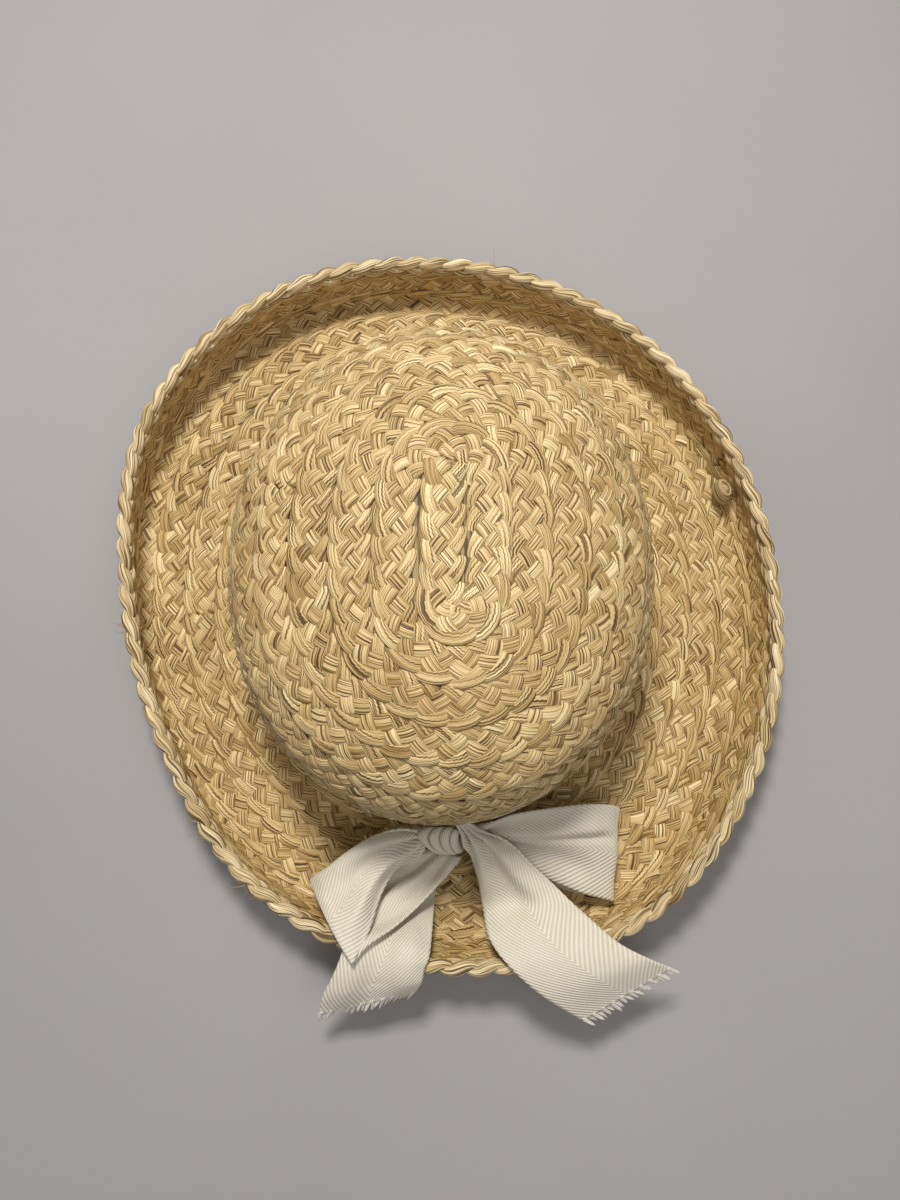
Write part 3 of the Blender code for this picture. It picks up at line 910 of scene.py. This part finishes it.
def sew_hat():
    """The crown and brim: one long plait in a spiral, and the last row that stands along the rim."""
    crown_rows = distances(crown_outline())[-1] / ROW_PITCH
    last = row_of(np.array([KNOT_TURN + math.tau * (SPIRAL_TURNS + 1)]))[0]
    brim_rows = last + TOP_ROW - crown_rows
    table = hat_table(crown_rows, brim_rows)
    underlay(table, crown_rows, last)
    # The crown's straw carries wear and painted shade on its lowest rows
    straw = straw_material("crown_raffia", CROWN_STRAW, worn_and_shaded=True)
    warm = straw_material("brim_raffia", BRIM_STRAW)
    core, shoulder = CORE_END * crown_rows, SHOULDER_END * crown_rows
    side, inner = crown_rows - CROWN_TUCK, crown_rows + INNER_BRIM * brim_rows
    spiral_plait(table, (
        ("crown_plait_core", core, straw, ("crown_top",)),
        ("crown_plait_shoulder", shoulder, straw, ("crown_top", "crown_shoulder")),
        ("crown_plait_side", side, straw, ("crown_side",)),
        ("brim_plait_inner", inner, warm, ("brim_floor",)),
        ("brim_plait_outer", last, warm, ("brim_floor", "brim_wall")),
    ))
    ring_plait(table, last, warm)
    plait_fuzz(table, last, straw)


def spiral_plait(table, parts):
    """The sewn spiral, cut into pieces: each runs from the end of the one before to its own last row."""
    turns = np.linspace(START_TURN, END_TURN + math.tau * SPIRAL_TURNS, SPIRAL_STEPS)
    rows = row_of(turns)
    reached, grid = lane(table, turns, rows)
    path_rows = np.interp(reached, distances(on_table(table, turns, rows)), rows)
    tuck = grid[0] + np.arange(-CORE_TUCK, 0)[:, None, None] * (grid[1] - grid[0])
    grid = np.concatenate([tuck, grid])
    reached = reached + CORE_TUCK * PATH_STEP
    start = 0.0
    for n, (name, last, material, nodes) in enumerate(parts):
        end = np.interp(last, path_rows, reached)
        strands = plait_strands(grid, start, end, ROW_TILT, SEED + n)
        place_piece(tube_mesh(name, strands), material, nodes)
        start = end


def ring_plait(table, row, material):
    """The last row of plait, which stands along the rim and closes on itself."""
    turns = np.linspace(KNOT_TURN, KNOT_TURN + math.tau, RING_STEPS)
    _, ring = lane(table, turns, np.full(RING_STEPS, row))
    ring = ring + lane_normals(ring) * RING_LIFT
    length = (ring.shape[0] - 1) * PATH_STEP
    strands = plait_strands(ring, 0.0, length, RING_TILT, SEED + 10)
    place_piece(tube_mesh("brim_plait_wall", strands), material, ("brim_wall",))


def underlay(table, crown_rows, ring_row):
    """The overlapped edges of the rows, which close the gaps between the strands from within, coloured
    dark as painted shade.
    """
    # Painted shade: the underlay's straw is darkened to stand for the shade between the strands
    shade_painted_straw = straw_material("underlay_raffia_painted_shade", SHADED_STRAW)
    top = ring_row + TOP_ROW + UNDERLAY_RISE
    spans = (("crown_underlay", 0.02, crown_rows), ("brim_underlay", crown_rows, top))
    turn = np.linspace(0, math.tau, UNDERLAY_TURNS, endpoint=False)
    for name, first, stop in spans:
        row = np.linspace(first, stop, int((stop - first) * UNDERLAY_ROW_STEPS) + 1)
        turns, rows = np.meshgrid(turn, row, indexing="ij")
        grid = on_table(table, turns, rows)
        by_turn = np.roll(grid, -1, axis=0) - np.roll(grid, 1, axis=0)
        depth = UNDERLAY_DEPTH - RING_LIFT * np.clip((row - ring_row + 0.65) / 0.3, 0, 1)
        grid = grid - unit(np.cross(np.gradient(grid, axis=1), by_turn)) * depth[None, :, None]
        travel = distances(grid[:, -1])
        thing = sheet_mesh(name, grid, travel, UNDERLAY_THICKNESS, closed=True)
        place_piece(thing, shade_painted_straw)


# Rim

def rim_line(angle):
    """The middle of the rim's plait at compass angles."""
    reach = smooth_table("rim", angle) - RIM_RADIUS
    line = compass(angle)[0] * reach[..., None]
    line[..., 2] = smooth_table("height", angle)
    return line


def rim_plait():
    """The three-strand plait that finishes the edge."""
    draw = np.random.default_rng(SEED + 20)
    angles = np.linspace(0, math.tau, RIM_LINE_STEPS)
    places = distances(rim_line(angles))
    count = round(places[-1] / RIM_LOBE) * RIM_STEPS
    distance = np.linspace(0, places[-1], count, endpoint=False)
    angle = np.interp(distance, places, angles)
    middle = rim_line(angle)
    outward = compass(angle)[0]
    face = unit(UP * RIM_LEAN - outward * RIM_UPRIGHT)
    across = unit(UP * RIM_UPRIGHT + outward * RIM_LEAN)
    strands = []
    for k in range(RIM_STRANDS):
        phase = math.tau * (np.arange(count) / (RIM_STEPS * RIM_STRANDS) + k / RIM_STRANDS)
        sideways = RIM_SWING * np.sin(phase) + draw.normal(0, RIM_JITTER, count)
        height = -RIM_CROSSING * np.sin(2 * phase)
        centre = middle + across * sideways[:, None] + face * height[:, None]
        ahead = unit(np.roll(centre, -1, axis=0) - np.roll(centre, 1, axis=0))
        side = unit(np.cross(ahead, face))
        normal = unit(np.cross(side, ahead))
        width = RIM_STRAND_WIDTH * (1 + 0.06 * np.sin(phase + k))
        thickness = RIM_THICKNESS + RIM_SWELL * np.clip(np.sin(phase), 0, 1) ** 2
        rings = strand_rings(centre, side, normal, width, thickness, STRAND_SIDES, STRAND_RIDGE)
        tone = np.clip(0.62 + 0.2 * np.sin(np.arange(count) / 31.0 + k * 2.1), 0, 1)
        strands.append((rings, distance * 1.3 + k * 5.0, width, tone))
    pale = straw_material("rim_raffia", RIM_STRAW, 0.65)
    place_piece(tube_mesh("rim_plait", strands, closed=True), pale, ("rim_braid",))
    return pale


# Loose fibres

def loose_fibres(name, starts, headings, lengths, draw):
    """Fine hairs of straw, each a curved thread that tapers from its root."""
    t = np.linspace(0, 1, FIBRE_STEPS)
    tone = np.full(FIBRE_STEPS, FIBRE_TONE)
    bends = draw.normal(0, FIBRE_BEND, headings.shape)
    strands = []
    for start, heading, bend, length in zip(starts, headings, bends, lengths):
        line = start + heading * (t * length)[:, None] + bend * (t ** 2 * length)[:, None]
        side, outward = frames(line, np.broadcast_to([0.11, 0.07, 0.99], line.shape))
        width = (FIBRE_WIDTH + FIBRE_SPREAD * length) * (1 - FIBRE_TAPER * t)
        rings = strand_rings(line, side, outward, width, width, FIBRE_SIDES)
        strands.append((rings, t * length, width, tone))
    return tube_mesh(name, strands)


def rim_fuzz(material):
    """Hairs that stand out from the rim, more of them where its strands have frayed, and stray straws."""
    draw = np.random.default_rng(SEED + 30)
    frayed = [draw.normal(place, FRAY_SPREAD, FRAY_FIBRES) for place in FRAYS]
    around = draw.uniform(BOW_END, BOW_START + 360, RIM_FIBRES)
    angle = np.radians(np.concatenate([around, *frayed]))
    count = len(angle)
    longest = np.where(np.arange(count) < RIM_FIBRES, RIM_FIBRE_LENGTH, FRAY_LENGTH)
    lengths = longest * draw.uniform(0.35, 1, count)
    outward, onward = compass(angle)
    reach = draw.uniform(-0.5, 1, (count, 1))
    heading = unit(outward * reach + onward * draw.normal(0, 0.6, (count, 1)))
    heading = unit(heading + UP * draw.uniform(-0.3, 0.7, (count, 1)))
    roots = rim_line(angle) + outward * reach * RIM_ROOT + UP * RIM_ROOT
    for place, out, on, length in STRAY_STRAWS:
        turn = np.radians([place])
        away, ahead = compass(turn)
        roots = np.vstack([roots, rim_line(turn) + UP * RIM_ROOT])
        heading = np.vstack([heading, unit(away * out + ahead * on + UP * STRAY_RISE)])
        lengths = np.append(lengths, length)
    place_piece(loose_fibres("rim_fuzz", roots, heading, lengths, draw), material)


def plait_fuzz(table, rows, material):
    """Hairs that stand out from the plait of the crown and the brim."""
    draw = np.random.default_rng(SEED + 31)
    row = np.sqrt(draw.uniform(0.3, rows ** 2, PLAIT_FIBRES))
    turn = draw.uniform(0, math.tau, PLAIT_FIBRES)
    spot = on_table(table, turn, row)
    clear = (spot[:, 1] > BOW_BACK) | (np.abs(spot[:, 0]) > BOW_REACH)
    turn, row, spot = turn[clear], row[clear], spot[clear]
    count = len(spot)
    by_turn = unit(on_table(table, turn + 0.01, row) - spot)
    by_row = unit(on_table(table, turn, row + 0.05) - spot)
    normal = unit(np.cross(by_row, by_turn))
    heading = unit(by_turn * draw.normal(0, 1, (count, 1)) + by_row * draw.normal(0, 1, (count, 1)))
    heading = unit(heading + normal * draw.uniform(0.15, 0.8, (count, 1)))
    lengths = PLAIT_FIBRE_LENGTH * draw.uniform(0.4, 1, count)
    fuzz = loose_fibres("plait_fuzz", spot + normal * WEAVE_LIFT, heading, lengths, draw)
    place_piece(fuzz, material)


# Ribbon

def ribbon_value(stations, column, place):
    """A column of a ribbon's table at any places along it, in metres."""
    values = metres(stations, RIBBON_COLUMNS, column)
    last = len(stations) - 1
    row = np.minimum(np.floor(place).astype(int), last - 1)
    picks = [values[np.clip(row + n, 0, last)] for n in (-1, 0, 1, 2)]
    return curve_through(*picks, place - row)


def ribbon_edge(stations, edge, place):
    """Points on the back or the front edge of a ribbon."""
    return np.stack([ribbon_value(stations, edge + axis, place) for axis in (" x", " y", " z")], axis=1)


def laid_fold(place, side, fold):
    """Rise of a ribbon beside a fold that runs along it: the back part lies over the front part."""
    first, last, start, end, rise = fold
    share = np.clip((place - first) / (last - first), 0, 1)
    line = start + (end - start) * share
    fade = np.clip((place - first + FOLD_EARLY) / FOLD_EASE, 0, 1)
    fade = fade * np.clip(last + FOLD_EARLY - place, 0, 1)
    over = side[None, :] - line[:, None]
    step = 1 / (1 + np.exp(over / FOLD_EDGE))
    hollow = np.exp(-((over - FOLD_HOLLOW) / FOLD_HOLLOW) ** 2)
    return rise * (step - HOLLOW_DEPTH * hollow) * fade[:, None]


def ribbon_surface(stations, fold=None):
    """Points over the middle of a ribbon, gathered where it leaves the knot."""
    last = len(stations) - 1
    place = np.linspace(0, last, last * RIBBON_STEPS + 1)
    back = ribbon_edge(stations, "back", place)
    front = ribbon_edge(stations, "front", place)
    arch = ribbon_value(stations, "arch", place)
    side = np.linspace(-1, 1, RIBBON_COLUMNS_ACROSS + 1)
    share = (0.5 + 0.5 * side)[None, :, None]
    grid = back[:, None] * (1 - share) + front[:, None] * share
    grid[:, :, 2] += arch[:, None] * (1 - side[None, :] ** 2)
    normal = lane_normals(grid)
    travel = distances((back + front) / 2)
    fade = np.exp(-travel / GATHER_REACH)
    comes_back = np.linalg.norm(back[-1] - front[-1]) < RIBBON_WIDTH / 2
    if comes_back:
        fade = fade + np.exp((travel - travel[-1]) / GATHER_REACH)
    width = np.linalg.norm(np.diff(grid, axis=1), axis=2).sum(axis=1)
    folds = LONG_FOLDS + (GATHER_FOLDS - LONG_FOLDS) * np.clip(fade, 0, 1)
    spare = np.clip(RIBBON_WIDTH / width, 1, None) ** 2 - 1
    depth = np.sqrt(2 * spare) * width / (math.tau * folds)
    depth = np.clip(depth, 0, FOLD_DEPTH + (GATHER_DEPTH - FOLD_DEPTH) * np.clip(fade, 0, 1))
    depth = depth * (1 - CALM_SHARE * np.exp(-((travel / travel[-1] - 0.5) / CALM_REACH) ** 2))
    depth = depth * (1 - np.exp((travel - travel[-1]) / END_REACH))
    sway = FOLD_SWAY * np.sin(travel / FOLD_DRIFT)
    wave = np.cos(side[None, :] * math.pi * folds[:, None] + sway[:, None])
    grid = grid + normal * (depth[:, None] * wave)[..., None]
    if comes_back:
        grid[:, :, 2] -= (ROLL_DEPTH * np.exp((travel - travel[-1]) / ROLL_REACH))[:, None]
    if fold:
        grid = grid + normal * laid_fold(place, side, fold)[..., None]
    return tucked(grid)


def tucked(grid):
    """A ribbon with a short narrowing end added, which runs on into the knot, and its lengths."""
    step = unit(grid[0].mean(axis=0) - grid[2].mean(axis=0))
    reach = np.linspace(TUCK_LENGTH, 0, 6, endpoint=False)[:, None, None]
    narrow = 1 - 0.5 * reach / TUCK_LENGTH
    centre = grid[0].mean(axis=0)
    tuck = centre + (grid[0] - centre) * narrow + step * reach
    grid = np.concatenate([tuck, grid])
    return grid, distances(grid.mean(axis=1))


def sheet_mesh(name, grid, travel, thickness=RIBBON_THICKNESS, closed=False, tone=None):
    """A thin closed mesh over a grid of points, with cloth coordinates in metres and tones, which can
    carry painted shade in creases.
    """
    half = lane_normals(grid) * thickness / 2
    rings = np.concatenate([grid + half, (grid - half)[:, ::-1]], axis=1)
    side = np.linspace(-RIBBON_WIDTH / 2, RIBBON_WIDTH / 2, grid.shape[1])
    across = np.concatenate([side, side[::-1]])
    count, sides = rings.shape[:2]
    i, j, _, next_j, quads = ring_faces(count, sides, closed)
    lengths = np.append(travel, travel[-1] + travel[1])
    uv = np.stack([
        np.stack([lengths[i], lengths[i], lengths[i + 1], lengths[i + 1]], -1),
        np.stack([across[j], across[next_j], across[next_j], across[j]], -1),
    ], -1).reshape(-1, 4, 2)
    if not closed:
        j, first, last = end_faces(count, sides)
        width = np.stack([across[j], across[j + 1], across[j + 1], across[j]], -1)
        first_uv, last_uv = (np.stack([np.full(width.shape, end), width], -1) for end in travel[[0, -1]])
        quads = np.concatenate([quads, first[:, ::-1], last])
        uv = np.concatenate([uv, first_uv[:, ::-1], last_uv])
    tones = np.ones(grid.shape[:2]) if tone is None else tone
    tones = np.concatenate([tones, tones[:, ::-1]], axis=1)
    return quad_mesh(name, rings.reshape(-1, 3), quads, uv, tones.ravel())


def twill_material():
    """Ivory cotton twill: fine slanted ribs that meet in a line along the ribbon's middle, with painted
    shade where the tone marks a crease.
    """
    kit = Nodes("cotton_twill")
    uv = kit.fibres()
    sides = kit.apart(uv)
    lean = kit.multiply(kit.number("ABSOLUTE", sides["Y"]), TWILL_LEAN)
    rib = kit.multiply(kit.number("ADD", sides["X"], lean), math.tau / TWILL_PITCH)
    rib = kit.share(kit.number("SINE", rib), -1.0, 1.0)
    thread = kit.noise(kit.coordinates((1600.0, 1600.0, 1.0)), 1.0, 2.0, 0.6)
    cloud = kit.noise(uv, 90.0, 3.0, 0.5)
    colour = kit.ramp(rib, RIB_COLOURS)
    colour = kit.mix("MULTIPLY", 0.35, colour, kit.ramp(thread, TWIST_COLOURS))
    colour = kit.mix("MULTIPLY", 0.3, colour, kit.ramp(cloud, CLOUD_COLOURS))
    return kit.finish({
        # Painted shade: the tone darkens the cloth in the knot's pleat hollows
        "Base Color": kit.mix("MULTIPLY", 1.0, colour, kit.ramp(kit.tone(), PAINTED_CREASE_SHADE)),
        "Roughness": 0.85,
        "Specular IOR Level": 0.2,
        "Sheen Weight": 0.25,
        "Sheen Roughness": 0.5,
        "Normal": kit.bump(thread, 0.3, 0.2 * MM, kit.bump(rib, 0.6, 0.4 * MM)),
    })


def fringe(name, grid, length, seed):
    """Loose threads along the cut end of a tail, in small clumps."""
    draw = np.random.default_rng(seed)
    end = grid[-1]
    ahead = unit(end - grid[-6])
    count = FRINGE_THREADS // FRINGE_CLUMP + 1
    clumps = draw.normal(0, CLUMP_STRAY, (count, 3))
    reaches = draw.uniform(*CLUMP_REACHES, count)
    edge = unit(end[-1] - end[0])
    spots = np.arange(len(end))
    t = np.linspace(0, 1, THREAD_STEPS)
    strands = []
    for n, place in enumerate(np.linspace(0.15, len(end) - 1.15, FRINGE_THREADS)):
        clump = n // FRINGE_CLUMP
        pull = (n % FRINGE_CLUMP - (FRINGE_CLUMP - 1) / 2) * FRINGE_CLOSE * MM
        start = along(spots, end, [place])
        heading = along(spots, ahead, [place])
        reach = length * reaches[clump] * draw.uniform(*THREAD_REACHES)
        line = start + heading * (t * (reach + MM) - MM)[:, None]
        lean = clumps[clump] * reach * 0.5 - edge * pull + draw.normal(0, THREAD_STRAY, 3)
        line = line + lean * (t ** 1.2)[:, None]
        line[:, 2] += THREAD_CURL * np.sin(t * 2.2 + n)
        side, outward = frames(line, np.broadcast_to(UP, line.shape))
        width = THREAD_WIDTH * (1 - THREAD_TAPER * t ** 3)
        rings = strand_rings(line, side, outward, width, width, THREAD_SIDES)
        strands.append((rings, t * reach, width, np.full(len(t), draw.uniform(0.3, 0.8))))
    return place_piece(tube_mesh(name, strands), thread_material())


def thread_material():
    """Loose cotton thread: off-white, with a fine twist."""
    if "cotton_thread" in bpy.data.materials:
        return bpy.data.materials["cotton_thread"]
    kit = Nodes("cotton_thread")
    twist = kit.noise(kit.coordinates((2600.0, 900.0, 1.0)), 1.0, 2.0, 0.6)
    return kit.finish({
        "Base Color": kit.ramp(twist, THREAD_COLOURS),
        "Roughness": 0.9,
        "Sheen Weight": 0.3,
        "Normal": kit.bump(twist, 0.5, 0.2 * MM),
    })


def ribbons():
    """The bow: two loops, two tails with their frayed ends, the knot and the band."""
    cloth = twill_material()
    pieces = (
        ("left_loop_ribbon", LEFT_LOOP, "left_loop", "folded", LEFT_LOOP_FOLD),
        ("right_loop_ribbon", RIGHT_LOOP, "right_loop", "folded", RIGHT_LOOP_FOLD),
        ("left_tail_ribbon", LEFT_TAIL, "left_tail", "draped", None),
        ("right_tail_ribbon", RIGHT_TAIL, "right_tail", "draped", None),
    )
    for n, (name, stations, node, held, fold) in enumerate(pieces):
        grid, travel = ribbon_surface(stations, fold)
        piece = place_piece(sheet_mesh(name, grid, travel), cloth, (node,))
        threads = []
        if held == "draped":
            threads = [fringe(node + "_fringe", grid, FRINGE_LENGTH, SEED + 40 + n)]
    bow_knot(cloth)
    hat_band(cloth)


def bow_knot(cloth):
    """The turn of ribbon round the bow's middle: pleats that close in towards its foot."""
    turn = np.linspace(0, math.tau, KNOT_STEPS, endpoint=False)[:, None]
    side = np.linspace(-1, 1, KNOT_COLUMNS + 1)[None, :]
    fall = (1 - np.cos(turn)) / 2
    x = KNOT_MIDDLE[0] + KNOT_DRIFT * fall + side * (KNOT_HALF_WIDTH - KNOT_NARROWING * fall)
    close = np.sqrt(1 - KNOT_SQUARENESS * side ** 4)
    across = side + PLEAT_SWAY * np.sin(turn + PLEAT_TURN) + PLEAT_CROWDING * side ** 2
    ridge = np.abs(np.cos(math.pi * KNOT_PLEATS / 2 * across))
    puff = KNOT_PLEAT * (ridge ** 0.5 - 0.8)
    y = KNOT_MIDDLE[1] - KNOT_DRIFT * fall - (KNOT_HALF_DEPTH + puff) * close * np.sin(turn)
    z = KNOT_MIDDLE[2] + (KNOT_HALF_HEIGHT + puff) * close * np.cos(turn)
    grid = np.stack(np.broadcast_arrays(x, y, z), axis=-1)
    travel = distances(grid[:, KNOT_COLUMNS // 2])
    # Painted shade in the pleat hollows, carried by the tone
    crease = np.broadcast_to(ridge, grid.shape[:2])
    knot = sheet_mesh("bow_knot_ribbon", grid, travel, closed=True, tone=crease)
    place_piece(knot, cloth, ("bow_knot",))


def hat_band(cloth):
    """The ribbon round the foot of the crown."""
    outline = crown_outline()
    places = distances(outline)
    turn = np.linspace(0, math.tau, BAND_STEPS, endpoint=False)
    columns = []
    for height, slack in BAND:
        spot = along(places, outline, [places[-1] - height * MM])[0]
        crease = sum(size * np.sin(turn * waves + shift * height) for size, waves, shift in BAND_CREASES)
        reach = spot[0] + HALF_WALL + GAP + slack * MM + crease + BAND_LIFT
        columns.append(oval_point(turn, reach, spot[1]))
    grid = np.stack(columns, axis=1)[:, ::-1]
    travel = distances(grid[:, 0])
    band = sheet_mesh("band_ribbon", grid, travel, closed=True)
    place_piece(band, cloth, ("hat_band",))


def rim_binding(material):
    """Fine straw wound round the end of the rim's plait."""
    spot, sideways, upward, inward = wrap_place()
    half_width, half_depth, half_length = WRAP_HALF
    t = np.linspace(-1, 1, WRAP_STEPS)
    spin = (t + 1) / 2 * WRAP_TURNS * math.tau
    girth = np.sqrt(1 - t ** 2 * 0.75)
    line = spot + upward * (t * half_length)[:, None]
    line = line + sideways * (np.cos(spin) * half_width * girth)[:, None]
    line = line + inward * (np.sin(spin) * half_depth * girth)[:, None]
    around = sideways * np.cos(spin)[:, None] + inward * np.sin(spin)[:, None]
    side, normal = frames(line, around)
    width, thickness = (np.full(WRAP_STEPS, size) for size in WRAP_STRAW)
    tone = 0.25 + 0.12 * np.sin(spin * 0.7)
    winding = (strand_rings(line, side, normal, width, thickness), distances(line), width, tone)
    strands = [winding, binding_core(spot, sideways, upward, inward)]
    place_piece(tube_mesh("rim_binding", strands), material, ("rim_knot",))


def binding_core(spot, sideways, upward, inward):
    """The straws inside the winding, as one rounded bundle."""
    half_width, half_depth, half_length = WRAP_CORE
    turn = math.tau * np.arange(CORE_SIDES)[:, None] / CORE_SIDES
    rings = []
    for share in np.linspace(-0.96, 0.96, CORE_RINGS):
        size = math.sqrt(1 - share ** 2)
        across = np.cos(turn) * sideways * half_width + np.sin(turn) * inward * half_depth
        rings.append(spot + upward * share * half_length + across * size)
    lengths = np.linspace(0, CORE_LENGTH, CORE_RINGS)
    return np.array(rings), lengths, np.full(CORE_RINGS, CORE_GIRTH), np.full(CORE_RINGS, 0.2)


def wrap_place():
    """Where the wound end lies on the inside of the brim, and which way it faces."""
    outward, sideways = compass(KNOT_TURN)
    chain, length = brim_outline(KNOT_TURN, CROWN_HALF_WIDTH)
    places = distances(chain)
    here, ahead = along(places, chain, [length - WRAP_DEPTH, length - WRAP_DEPTH + MM])
    step = unit(ahead - here)
    inward = UP * step[0] - outward * step[1]
    upward = UP * step[1] + outward * step[0]
    spot = outward * here[0] + UP * (here[1] - FLOOR_CLEARANCE) + inward * WRAP_CLEAR
    return spot, sideways, upward, inward


camera()
studio()
sew_hat()
rim_straw = rim_plait()
rim_binding(rim_straw)
rim_fuzz(rim_straw)
ribbons()
